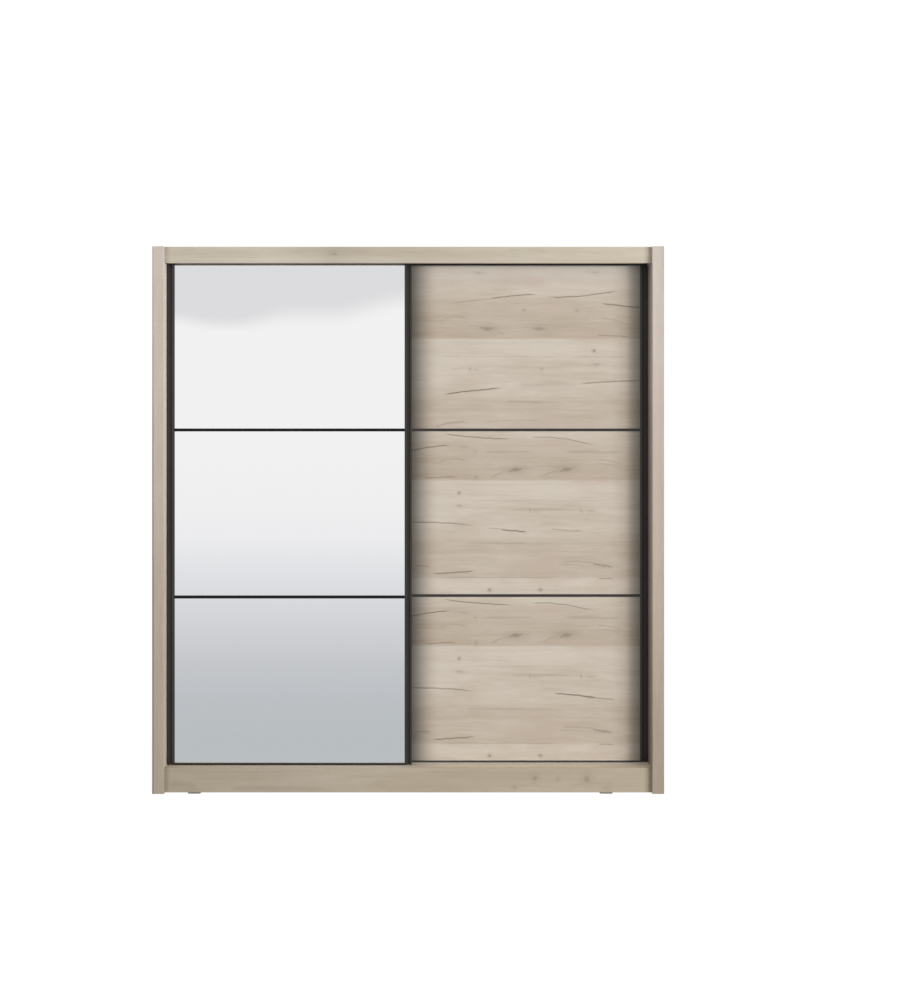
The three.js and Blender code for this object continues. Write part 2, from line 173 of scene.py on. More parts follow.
def frame_around(bm, section, outer, inner):
    """A mitred picture frame in the XZ plane. Section points are (share from outer to inner, y)."""
    made = []
    for share, y in section:
        x0, z0, x1, z1 = [o + share * (i - o) for o, i in zip(outer, inner)]
        corners = [(x0, y, z0), (x1, y, z0), (x1, y, z1), (x0, y, z1)]
        made.append([bm.verts.new(c) for c in corners])
    count = len(made)
    for i in range(count):
        a, b = made[i], made[(i + 1) % count]
        for k in range(4):
            m = (k + 1) % 4
            bm.faces.new((a[k], a[m], b[m], b[k]))


def revolved(bm, profile, centre, axis, segments, shape=None):
    """Revolves (radius, height) points around axis. shape(row, angle) may scale a row's radius."""
    turn = Vector((0, 0, 1)).rotation_difference(Vector(axis)).to_matrix()
    rows = []
    for index, (radius, height) in enumerate(profile):
        row = []
        for k in range(segments):
            angle = 2 * math.pi * k / segments
            reach = radius * (shape(index, angle) if shape else 1)
            point = Vector((reach * math.cos(angle), reach * math.sin(angle), height))
            row.append(Vector(centre) + turn @ point)
        rows.append(row)
    rings(bm, rows)


def cross_outline(angle):
    """Radius of a plus sign whose arms are 1 long, at an angle in radians."""
    off_arm = (angle + math.pi / 4) % (math.pi / 2) - math.pi / 4
    return min(1.0, CROSS_ARM / max(abs(math.sin(off_arm)), 1e-6))


def screw_head(bm, centre, axis, radius, height):
    """A low domed head with a cross recess, standing on a face."""
    dome = [(1, 0), (1, 0.35), (0.88, 0.8), (0.62, 1)]
    recess = [(0.55, 0.98), (0.44, 0.25)]
    profile = [(radius * across, height * up) for across, up in dome + recess]

    def shape(row, angle):
        return cross_outline(angle) if row >= len(dome) else 1

    revolved(bm, profile, centre, axis, 32, shape)


def pin(bm, centre, axis, radius, length, segments=20):
    """A short round pin or disc with a rounded free end, standing on a face."""
    rounding = min(PIN_ROUND, 0.6 * length, 0.5 * radius)
    profile = [(radius, 0), (radius, length - rounding)]
    profile += [(radius - 0.3 * rounding, length - 0.3 * rounding), (radius - rounding, length)]
    revolved(bm, profile, centre, axis, segments)


# ---- shader helpers


class Graph:
    """Adds nodes to one tree and returns their output sockets, so a material reads as a formula."""

    def __init__(self, tree):
        self.tree = tree
        tree.nodes.clear()

    def put(self, kind, inputs=(), out=0, **settings):
        node = self.tree.nodes.new("ShaderNode" + kind)
        for key, value in settings.items():
            setattr(node, key, value)
        for key, value in dict(inputs).items():
            if isinstance(value, bpy.types.NodeSocket):
                self.tree.links.new(value, node.inputs[key])
            else:
                node.inputs[key].default_value = value
        return node.outputs[out]

    def math(self, operation, *values, clamp=False):
        return self.put("Math", enumerate(values), operation=operation, use_clamp=clamp)

    def add(self, *values):
        total = values[0]
        for value in values[1:]:
            total = self.math("ADD", total, value)
        return total

    def times(self, *values):
        total = values[0]
        for value in values[1:]:
            total = self.math("MULTIPLY", total, value)
        return total

    def minus(self, a, b):
        return self.math("SUBTRACT", a, b)

    def step(self, value, low, high, to_low=0.0, to_high=1.0):
        """Smooth change from to_low to to_high as value goes from low to high."""
        inputs = {"Value": value, "From Min": low, "From Max": high, "To Min": to_low, "To Max": to_high}
        return self.put("MapRange", inputs, interpolation_type="SMOOTHSTEP")

    def mix(self, factor, a, b):
        return self.put("Mix", {0: factor, 6: a, 7: b}, out=2, data_type="RGBA")

    def multiply(self, a, b):
        return self.put("Mix", {0: 1.0, 6: a, 7: b}, out=2, data_type="RGBA", blend_type="MULTIPLY")

    def shade(self, colour, amount):
        """The colour times a grey amount."""
        return self.multiply(colour, self.put("CombineColor", {0: amount, 1: amount, 2: amount}))

    def mask(self, tree, *values):
        """The mask that a node group makes of its inputs."""
        return self.put("Group", enumerate(values), node_tree=tree)

    def xyz(self, kind="Object"):
        """The three parts of a texture coordinate: a place on the object, its normal or a direction."""
        vector = self.put("TexCoord", out=kind)
        return [self.put("SeparateXYZ", {0: vector}, out=k) for k in range(3)]

    def vector(self, x, y, z):
        return self.put("CombineXYZ", {0: x, 1: y, 2: z})

    def noise(self, vector, scale=1.0, detail=3.0, roughness=0.5):
        inputs = {"Vector": vector, "Scale": scale, "Detail": detail, "Roughness": roughness}
        return self.put("TexNoise", inputs)

    def ramp(self, factor, stops, interpolation="LINEAR"):
        node = self.tree.nodes.new("ShaderNodeValToRGB")
        node.color_ramp.interpolation = interpolation
        elements = node.color_ramp.elements
        while len(elements) < len(stops):
            elements.new(0.5)
        for element, (position, colour) in zip(elements, stops):
            element.position = position
            element.color = colour
        self.tree.links.new(factor, node.inputs[0])
        return node.outputs[0]

    def tone_along(self, value, stops, interpolation="LINEAR"):
        """A tone up to 1, read from a list of (place in mm, tone) at a coordinate."""
        start, end = stops[0][0], stops[-1][0]
        place = self.put("MapRange", {"Value": value, "From Min": start * MM, "From Max": end * MM})
        tones = [((at - start) / (end - start), grey(tone)) for at, tone in stops]
        return self.put("SeparateColor", {0: self.ramp(place, tones, interpolation)})

    def bump(self, height, distance, strength=0.5):
        return self.put("Bump", {"Height": height, "Distance": distance, "Strength": strength})

    def principled(self, **inputs):
        names = {
            "colour": "Base Color",
            "roughness": "Roughness",
            "metallic": "Metallic",
            "normal": "Normal",
            "specular": "Specular IOR Level",
        }
        return self.put("BsdfPrincipled", {names[key]: value for key, value in inputs.items()})

    def by_ray(self, camera, glossy, other):
        """One shader for the camera's rays, one for reflections and one for all other rays."""
        is_camera = self.put("LightPath", out="Is Camera Ray")
        is_glossy = self.put("LightPath", out="Is Glossy Ray")
        unseen = self.put("MixShader", {0: is_glossy, 1: other, 2: glossy})
        return self.put("MixShader", {0: is_camera, 1: unseen, 2: camera})

    def surface(self, shader, output="OutputMaterial"):
        out = self.tree.nodes.new("ShaderNode" + output)
        self.tree.links.new(shader, out.inputs["Surface"])


def grey(value):
    return (value, value, value, 1)


def rgb(red, green, blue):
    """A colour given as it looks on screen, 0 to 255, as the linear values that a shader takes."""

    def linear(value):
        value /= 255
        return value / 12.92 if value <= 0.04045 else ((value + 0.055) / 1.055) ** 2.4

    return (linear(red), linear(green), linear(blue), 1)


def new_material(name):
    material = bpy.data.materials.new(name)
    material.use_nodes = True
    return material, Graph(material.node_tree)


# ---- wood decor


def value_group(name, inputs):
    """An empty node group with float inputs and one float output, as (tree, graph, inputs)."""
    tree = bpy.data.node_groups.new(name, "ShaderNodeTree")
    for label in inputs:
        tree.interface.new_socket(label, in_out="INPUT", socket_type="NodeSocketFloat")
    tree.interface.new_socket("Mask", in_out="OUTPUT", socket_type="NodeSocketFloat")
    g = Graph(tree)
    source = tree.nodes.new("NodeGroupInput").outputs
    return tree, g, source[: len(inputs)]


def close_group(g, value):
    sink = g.tree.nodes.new("NodeGroupOutput")
    g.tree.links.new(value, sink.inputs[0])


def crack_group():
    """Mask of one long mark: a bowed line with a dark core that fades at both ends."""
    names = ("Along", "Across", "From along", "From across", "To along", "To across", "Bow", "Width")
    tree, g, (along, across, u0, v0, u1, v1, bow, width) = value_group("decor_crack", names)
    t = g.math("DIVIDE", g.minus(along, u0), g.minus(u1, u0))
    rise = g.times(g.minus(v1, v0), t)
    arch = g.times(bow, 4.0, t, g.minus(1.0, t))
    middle = g.add(v0, rise, arch)
    fade = g.times(g.step(t, 0.0, 0.15), g.step(t, 1.0, 0.8))
    reach = g.times(width, g.add(0.4, g.times(fade, 0.6)))
    distance = g.math("DIVIDE", g.math("ABSOLUTE", g.minus(across, middle)), reach)
    core = g.step(distance, 0.75, 0.1)
    halo = g.step(distance, 1.7, 0.2, 0.0, 0.6)
    close_group(g, g.times(g.math("MAXIMUM", core, halo), fade))
    return tree


def knot_group():
    """Mask of one flat knot: a dark core in a soft, drawn-out halo."""
    names = ("Along", "Across", "At along", "At across", "Length", "Height")
    tree, g, (along, across, u0, v0, length, height) = value_group("decor_knot", names)
    u = g.math("DIVIDE", g.minus(along, u0), length)
    v = g.math("DIVIDE", g.minus(across, v0), height)
    radius = g.math("SQRT", g.add(g.times(u, u), g.times(v, v)))
    core = g.step(radius, 1.0, 0.15)
    halo = g.step(radius, 2.4, 0.4, 0.0, 0.3)
    close_group(g, g.math("MAXIMUM", core, halo))
    return tree


# Marks in the decor, in mm from the middle of a panel: along the grain, across it.
# A crack is (from, to, bow, half width, strength); a knot is (place, half length, half height, strength).
# The middle and the bottom panel show the same part of the sheet, apart from a few cracks.
SHEET_CRACKS = [
    ((-335, 317), (-40, 296), -7, 2.6, 0.8),
    ((5, 300), (290, 264), 13, 2.2, 0.62),
    ((-480, 246), (-288, 271), 2, 2.8, 0.8),
    ((-414, 139), (-268, 143), 1, 2.2, 0.62),
    ((-480, -38), (-196, -53), 6, 2.8, 0.72),
    ((-380, -242), (-190, -230), -2, 2.8, 0.8),
    ((-446, -211), (-376, -212), 0, 2.2, 0.55),
    ((286, -261), (353, -262), 0, 2.0, 0.7),
    ((-270, 52), (390, 54), -6, 2.2, 0.2),
    ((-70, 12), (296, 8), 3, 4.5, 0.2),
    ((-180, 243), (40, 245), 0, 4.5, 0.18),
    ((140, 244), (400, 241), 0, 6.0, 0.2),
    ((-352, 202), (-225, 204), 12, 3.5, 0.2),
    ((-76, 167), (-6, 179), -4, 6.5, 0.5),
    ((-140, 140), (-62, 168), 4, 3.6, 0.26),
    ((128, 167), (194, 179), -4, 6.5, 0.45),
    ((66, 144), (136, 168), 5, 3.6, 0.28),
    ((280, 211), (388, 192), 5, 2.6, 0.26),
    ((270, 200), (384, 178), 4, 2.2, 0.2),
    ((262, -204), (352, -219), 3, 4.2, 0.56),
    ((138, -196), (300, -205), 7, 2.6, 0.32),
    ((124, -206), (250, -214), 3, 2.4, 0.24),
    ((-255, -120), (26, -122), 0, 3.0, 0.2),
    ((-376, -257), (172, -258), 0, 1.8, 0.4),
]
MIDDLE_CRACKS = [
    ((-104, -67), (12, -78), 1, 3.0, 0.92),
    ((-156, -60), (-60, -68), 0, 2.2, 0.4),
    ((92, -63), (238, -74), -2, 2.4, 0.5),
]
BOTTOM_CRACKS = [
    ((104, -59), (300, -80), 3, 3.2, 0.95),
    ((230, -74), (366, -86), 1, 2.6, 0.6),
]
SHEET_KNOTS = [
    ((-266, 80), 6.5, 6, 0.75), ((-265, 29), 24, 8, 0.34), ((16, 11), 6.5, 7, 0.5),
    ((36, 9), 22, 6, 0.22), ((220, 9), 6.5, 7, 0.5), ((258, 8), 27, 6, 0.3),
    ((-145, -307), 7, 7, 0.75), ((58, -307), 7, 7, 0.7), ((-199, 141), 6, 8, 0.36),
    ((-202, 243), 7, 6, 0.3), ((-245, 262), 26, 7, 0.2), ((-40, 172), 34, 15, 0.5),
    ((162, 172), 32, 15, 0.46), ((312, -211), 34, 10, 0.36),
]


# The top panel is cut from another part of the sheet.
TOP_CRACKS = [
    ((-156, 187), (56, 205), 5, 2.6, 0.8),
    ((-296, 168), (-120, 189), 3, 2.4, 0.36),
    ((80, 194), (386, 223), -7, 2.6, 0.8),
    ((292, 171), (480, 151), 0, 2.8, 0.8),
    ((276, 45), (420, 38), 0, 2.2, 0.5),
    ((-336, -193), (-84, -165), 2, 3.0, 0.95),
    ((204, -152), (480, -139), 5, 2.6, 0.75),
    ((188, -42), (430, -44), 0, 2.2, 0.22),
    ((-390, -40), (180, -42), 0, 2.2, 0.18),
    ((-192, 72), (-116, 66), 3, 6.0, 0.42),
    ((20, 70), (86, 66), 3, 6.0, 0.4),
    ((-130, 66), (-84, 44), 2, 3.0, 0.28),
    ((-240, 76), (-170, 74), 6, 2.6, 0.24),
    ((292, 112), (404, 86), 6, 2.6, 0.26),
    ((-330, 106), (-230, 111), 10, 3.4, 0.22),
    ((-40, -154), (220, -156), 0, 12.0, 0.13),
    ((-82, -220), (74, -223), 0, 2.2, 0.34),
    ((-350, -318), (-232, -300), 5, 3.6, 0.4),
    ((-190, -304), (90, -300), 6, 2.4, 0.2),
    ((-300, -92), (-190, -94), 5, 4.0, 0.2),
]
TOP_KNOTS = [
    ((202, 141), 6, 6, 0.4), ((-8, 144), 7, 6, 0.4), ((271, -19), 7, 6.5, 0.75),
    ((281, -72), 24, 8, 0.36), ((-223, -91), 8, 8, 0.4), ((-198, -92), 20, 6, 0.2),
    ((62, -91), 6, 6, 0.42), ((-190, 293), 24, 7, 0.26), ((275, 294), 30, 7, 0.24),
    ((-350, -318), 8, 6, 0.35), ((-154, 69), 34, 15, 0.46), ((54, 68), 32, 15, 0.42),
]


# The fascia and the plinth have only soft knots and shadows of grain.
FASCIA_CRACKS = [
    ((-480, 12), (-120, 8), 4, 7.0, 0.1),
    ((-330, -12), (-230, 14), 6, 4.0, 0.12),
    ((380, 16), (560, 14), 3, 6.0, 0.12),
    ((-860, -10), (-560, -14), 3, 5.0, 0.08),
]
FASCIA_KNOTS = [
    ((-288, 4), 13, 9, 0.42), ((-296, 6), 40, 22, 0.22), ((498, 18), 16, 7, 0.12),
]
PLINTH_CRACKS = [
    ((-920, 26), (-380, 30), 3, 4.0, 0.1),
    ((-720, -34), (-300, -36), 4, 9.0, 0.16),
    ((-940, -18), (-820, -26), 4, 16.0, 0.14),
    ((-640, 2), (-560, 4), 4, 3.0, 0.1),
    ((-260, 14), (40, 6), 5, 6.0, 0.1),
    ((420, -22), (560, -30), 4, 5.0, 0.1),
    ((640, -22), (820, -14), 6, 5.0, 0.12),
]
PLINTH_KNOTS = [
    ((496, 7), 16, 17, 0.34), ((699, 4), 21, 24, 0.36), ((417, -28), 13, 10, 0.28),
    ((586, 3), 12, 9, 0.24), ((774, -30), 18, 9, 0.2), ((-120, -10), 36, 8, 0.14),
]


def marks_group(name, cracks, knots):
    """Cracks and knots of one panel as one mask."""
    tree, g, (along, across) = value_group(name, ("Along", "Across"))
    shapes = [(CRACK, (*start, *end, *bow_width), share) for start, end, *bow_width, share in cracks]
    shapes += [(KNOT, (*place, *half_sizes), share) for place, *half_sizes, share in knots]
    total = 0.0
    for group, sizes, strength in shapes:
        mask = g.mask(group, along, across, *[size * MM for size in sizes])
        total = g.math("MAXIMUM", total, g.times(mask, strength))
    close_group(g, total)
    return tree


CRACK = crack_group()
KNOT = knot_group()

# Lengthwise planks of the decor: (height across the grain in mm, share of the tan tone).
PLANKS = [
    (-430, 0.3), (-330, 0.1), (-261, 0.12), (-256, 0.55), (-180, 0.5), (-118, 0.64), (-100, 0.32),
    (-40, 0.24), (20, 0.18), (127, 0.12), (133, 0.68), (190, 0.62), (270, 0.42), (305, 0.2), (430, 0.1),
]


def end_shade(g, distances, shades):
    """Painted shade near both ends of a board or panel: a gain from the distances to the ends and a shade
    for each.
    """
    gains = []
    for distance, (gain, near, far) in zip(distances, shades):
        gains.append(g.step(distance, near * MM, far * MM, gain, 1.0))
    return g.times(*gains)


def door_decor(name, centre, marks_tree, shift=0.0, head=0.0):
    """Cracked pale oak with level grain, darkened towards the stiles by painted shade. shift moves the
    planks; head is how much painted light pales the top edge, against the shade under the fascia.
    """
    material, g = new_material(name)
    x, y, z = g.xyz()
    along = g.minus(x, centre.x)
    beside = end_shade(g, (g.add(along, SHEET_HALF), g.minus(SHEET_HALF, along)), STILE_SHADES)
    panel_across = g.minus(z, centre.z)
    across = g.add(panel_across, shift)

    def noise(along_scale, across_scale, seed, detail=3.0, roughness=0.55, height=across):
        at = g.vector(g.times(along, along_scale), g.times(height, across_scale), seed)
        return g.minus(g.noise(at, detail=detail, roughness=roughness), 0.5)

    drift = noise(3.0, 7.0, 3.1, detail=2.0)
    ripple = noise(11.0, 22.0, 6.6, detail=2.0)
    wavy = g.add(across, g.times(drift, 0.024), g.times(ripple, 0.008))
    streak = noise(1.4, 44.0, 0.3, detail=5.0, roughness=0.64, height=wavy)
    fleck = noise(9.0, 95.0, 4.4, detail=4.0, roughness=0.66, height=wavy)
    fibre = noise(16.0, 650.0, 0.9, roughness=0.6, height=wavy)
    cloud = noise(3.2, 10.0, 8.4, detail=3.0)
    pores = noise(60.0, 1100.0, 5.5, detail=1.0, height=wavy)

    edges = g.add(across, g.times(drift, 0.004))
    tan = g.add(
        g.tone_along(edges, PLANKS),
        g.times(streak, 0.85),
        g.times(fleck, 0.75),
        g.times(cloud, 1.05),
        g.times(fibre, 0.25),
    )
    colour = g.mix(g.math("ADD", tan, 0.0, clamp=True), DOOR_LIGHT, DOOR_TAN)
    rosy = g.step(noise(3.0, 9.0, 1.7), 0.0, 0.2)
    colour = g.mix(g.times(rosy, 0.45), colour, DOOR_ROSY)
    # Painted light: the top edge of the top panel is paled, against the shade under the fascia
    colour = g.mix(g.step(panel_across, 0.21, 0.33, 0.0, head), colour, PAINTED_HEAD_LIGHT)

    jitter = noise(26.0, 9.0, 2.2, detail=3.0)
    marks = g.mask(marks_tree, along, g.add(panel_across, g.times(jitter, 0.007)))
    broken = g.step(noise(70.0, 300.0, 7.7), -0.3, 0.05, 0.7, 1.0)
    marks = g.times(marks, broken)
    colour = g.mix(marks, colour, CRACK_BROWN)
    colour = g.shade(colour, g.step(pores, -0.3, -0.08, 0.93, 1.0))
    # Painted shade: the panel darkens towards the stiles, as if in their shadow
    colour = g.shade(colour, beside)

    relief = g.minus(g.times(fibre, 0.5), g.times(marks, 1.4))
    roughness = g.add(0.5, g.times(streak, 0.14))
    normal = g.bump(relief, 0.25 * MM)
    g.surface(g.principled(colour=colour, roughness=roughness, normal=normal, specular=0.3))
    return material


def board_decor(name, grain, light, dark, *touches, contrast=1.0):
    """Plain pale oak melamine with the grain along X, Y or Z. Each touch changes its colour somewhere."""
    material, g = new_material(name)
    xyz = g.xyz()

    def noise(along_scale, cross_scale, **settings):
        at = [g.times(c, along_scale if axis == grain else cross_scale) for axis, c in zip("XYZ", xyz)]
        return g.minus(g.noise(g.vector(*at), **settings), 0.5)

    streak = noise(1.1, 30.0, detail=5.0, roughness=0.6)
    fleck = noise(8.0, 90.0, detail=3.0, roughness=0.62)
    fibre = noise(14.0, 600.0, detail=3.0, roughness=0.6)
    cloud = noise(1.4, 6.0, detail=3.0)
    tone = g.add(
        0.5,
        g.times(streak, 1.1 * contrast),
        g.times(cloud, 1.1 * contrast),
        g.times(fleck, 0.6 * contrast),
        g.times(fibre, 0.35 * contrast),
    )
    colour = g.mix(g.math("ADD", tone, 0.0, clamp=True), light, dark)
    for touch in touches:
        colour = touch(g, xyz, colour)
    roughness = g.add(0.52, g.times(streak, 0.16))
    normal = g.bump(fibre, 0.15 * MM, 0.45)
    g.surface(g.principled(colour=colour, roughness=roughness, normal=normal, specular=0.3))
    return material


def facing(g, axis, way=1.0):
    """1 on faces that look along the axis, 0 on the others."""
    return g.step(g.times(g.xyz("Normal")[axis], way), 0.5, 0.95)


def shade_where(g, colour, mask, gain):
    """The colour times gain where the mask is 1, and unchanged where it is 0."""
    return g.shade(colour, g.add(1.0, g.times(mask, g.minus(gain, 1.0))))


def foot_shade_painted(tint):
    """Painted shade: dimmer and warmer towards the floor."""

    def touch(g, xyz, colour):
        low = g.step(xyz[2], CAD_BOX[1][2], 0.0)
        return g.mix(low, colour, g.multiply(colour, (*tint, 1)))

    return touch


def jamb_light_and_shade(way, near, far, beyond=1.0):
    """Painted light and shade on a side's inner face: a gain at its front edge, one beside the doors, and
    one beside fascia and plinth.
    """

    def touch(g, xyz, colour):
        inwards = g.minus(xyz[1], CAD_BOX[0][1])
        gain = g.step(inwards, 0.0, JAMB_DEPTH, near, far)
        before_back = g.step(inwards, *JAMB_END)
        sill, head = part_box("front_plinth")[1].z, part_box("top_fascia")[0].z
        above = g.step(xyz[2], sill - EDGE_BLUR, sill + EDGE_BLUR)
        below = g.step(xyz[2], head + EDGE_BLUR, head - EDGE_BLUR)
        gain = g.add(beyond, g.times(above, below, g.minus(gain, beyond)))
        return shade_where(g, colour, g.times(facing(g, 0, way), before_back), gain)

    return touch


def outer_corner_shade(way, low, high):
    """Painted shade down the outer corner of a side, where its rounded edge turns away from the light: a
    darker line, fading upwards.
    """

    def touch(g, xyz, colour):
        corner = CAD_BOX[0][0] if way < 0 else CAD_BOX[1][0]
        near_corner = g.step(g.times(g.minus(corner, xyz[0]), way), *LINE_WIDTH)
        at_front = g.step(g.minus(xyz[1], CAD_BOX[0][1]), *LINE_DEPTH)
        gain = g.step(xyz[2], *LINE_FADE, low, high)
        return shade_where(g, colour, g.times(near_corner, at_front), gain)

    return touch


def board_ends(shades):
    """Painted contact shade where a board meets the sides."""

    def touch(g, xyz, colour):
        low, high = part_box("top_fascia")
        distances = (g.minus(xyz[0], low.x), g.minus(high.x, xyz[0]))
        return g.shade(colour, end_shade(g, distances, shades))

    return touch


def sill_painted_light(gain):
    """Painted light: a gain on the upward faces in front of the doors, which makes them brighter than the
    room's light does.
    """

    def touch(g, xyz, colour):
        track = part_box("lower_track")[0].y
        in_front = g.step(xyz[1], track + EDGE_BLUR, track)
        return shade_where(g, colour, g.times(facing(g, 2), in_front), gain)

    return touch


def drift_along(stops):
    """Slow change of tone along X: partly the board's own uneven tone, partly painted light that rises
    towards the right end.
    """

    def touch(g, xyz, colour):
        half = g.tone_along(xyz[0], [(x, gain / 2) for x, gain in stops], "EASE")
        return g.shade(colour, g.times(half, 2.0))

    return touch


def board_marks(name, node, cracks, knots):
    """Knots and streaks of one board, placed from its middle."""
    tree = marks_group(name, cracks, knots)
    middle = middle_of(node)

    def touch(g, xyz, colour):
        marks = g.mask(tree, g.minus(xyz[0], middle.x), g.minus(xyz[2], middle.z))
        return g.mix(marks, colour, CRACK_BROWN)

    return touch


def edge_wear_and_highlight(g, radius):
    """1 on sharp edges and 0 on flats, from a rounded normal against the real one."""
    rounded = g.put("Bevel", {"Radius": radius}, samples=4)
    true_normal = g.put("NewGeometry", out="Normal")
    match = g.put("VectorMath", {0: rounded, 1: true_normal}, out="Value", operation="DOT_PRODUCT")
    return g.step(match, 0.985, 0.86)


def frame_paint(name, dark, light, edge, specular=0.4):
    """Satin powder coat: a fine orange-peel texture, with edges a little lighter, partly rubbed wear and
    partly a painted highlight.
    """
    material, g = new_material(name)
    position = g.put("TexCoord", out="Object")
    peel = g.noise(position, scale=1400.0, detail=2.0)
    cloud = g.noise(position, scale=9.0, detail=2.0)
    colour = g.mix(cloud, dark, light)
    # Lighter edges: partly wear, partly a painted highlight
    colour = g.mix(g.times(edge_wear_and_highlight(g, 0.7 * MM), 0.5), colour, edge)
    roughness = g.add(0.38, g.times(g.minus(cloud, 0.5), 0.12), g.times(g.minus(peel, 0.5), 0.1))
    normal = g.bump(peel, 0.06 * MM)
    shader = g.principled(colour=colour, roughness=roughness, normal=normal, specular=specular)
    g.surface(shader)
    return material


def mirror_glass(name):
    """Silvered glass: the front face mirrors, the ground edges are green-grey, the back is painted."""
    material, g = new_material(name)
    backwards = g.xyz("Normal")[1]
    front = g.step(backwards, -0.9, -0.98)
    back = g.step(backwards, 0.9, 0.98)
    position = g.put("TexCoord", out="Object")
    smudge = g.noise(position, scale=3.0, detail=4.0, roughness=0.7)
    grain = g.noise(position, scale=900.0, detail=1.0)
    rest = g.mix(back, GLASS_EDGE, g.mix(grain, *MIRROR_BACK))
    colour = g.mix(front, rest, MIRROR_TINT)
    smooth = g.add(0.012, g.times(smudge, 0.012))
    roughness = g.add(g.times(front, smooth), g.times(g.minus(1.0, front), 0.5))
    g.surface(g.principled(colour=colour, metallic=front, roughness=roughness))
    return material


def plain_finish(name, light, dark, roughness, metallic=0.0, bump=0.04, stretch=(1, 1, 1)):
    """Moulded plastic or metal with a fine texture; stretch draws it out into brushing."""
    material, g = new_material(name)
    position = g.put("TexCoord", out="Object")
    drawn = g.put("VectorMath", {0: position, 1: stretch}, operation="MULTIPLY")
    fine = g.noise(drawn, scale=1200.0, detail=3.0)
    cloud = g.noise(position, scale=12.0, detail=2.0)
    colour = g.mix(cloud, rgb(*light), rgb(*dark))
    colour = g.shade(colour, g.step(fine, 0.2, 0.8, 0.94, 1.05))
    rough = g.add(roughness, g.times(g.minus(fine, 0.5), 0.15), g.times(g.minus(cloud, 0.5), 0.1))
    normal = g.bump(fine, bump * MM)
    g.surface(g.principled(colour=colour, roughness=rough, normal=normal, metallic=metallic))
    return material


# Colours
DOOR_LIGHT = rgb(220, 209, 194)
DOOR_TAN = rgb(190, 173, 153)
DOOR_ROSY = rgb(203, 183, 168)
# Painted light for the top edge of the top panel
PAINTED_HEAD_LIGHT = rgb(230, 221, 211)
CRACK_BROWN = rgb(104, 90, 74)
UPRIGHT = (rgb(226, 215, 204), rgb(202, 188, 174))
BOARD = (rgb(222, 212, 195), rgb(196, 182, 160))
HARDBOARD = (rgb(232, 228, 220), rgb(214, 208, 198))
FRAME = (rgb(46, 43, 40), rgb(60, 56, 52), rgb(96, 92, 86))
# A darker copy of the frame paint, painted shade for the rails and dividers of the mirror door
FRAME_SHADED = (rgb(14, 14, 15), rgb(20, 20, 21), rgb(48, 48, 50))
MIRROR_TINT = rgb(249, 248, 249)
MIRROR_BACK = (rgb(138, 142, 144), rgb(120, 124, 126))
GLASS_EDGE = rgb(110, 140, 130)

# Slow change of tone along a board, partly its own uneven tone and partly painted light rising towards the
# right: (x in mm, gain)
FASCIA_DRIFT = [(-954, 0.93), (-560, 0.96), (-300, 0.87), (-60, 0.93), (150, 0.96), (954, 1.04)]
PLINTH_DRIFT = [(-954, 0.93), (-560, 0.93), (0, 1.03), (954, 1.08)]

# Painted shade at the left and right end of a board or a wood panel: gain at the end, and from where to
# where in mm it lifts
STILE_SHADES = ((0.22, -20, 110), (0.308, -20, 65))
BOARD_SHADES = ((0.76, 4, 24), (0.68, 10, 36))
SHEET_HALF = 454.5 * MM  # half the width of a wood panel between the stiles

# Painted light and shade on the inner face of a side, measured inwards from its front: the part beside the
# doors, and where it fades out
JAMB_DEPTH = 72 * MM
JAMB_END = (170 * MM, 110 * MM)
EDGE_BLUR = 3 * MM

# The painted shade down a side's outer corner: where it fades out across, in depth and in height
LINE_WIDTH = (8 * MM, 5 * MM)
LINE_DEPTH = (4 * MM, 2 * MM)
LINE_FADE = (1.3, 2.1)


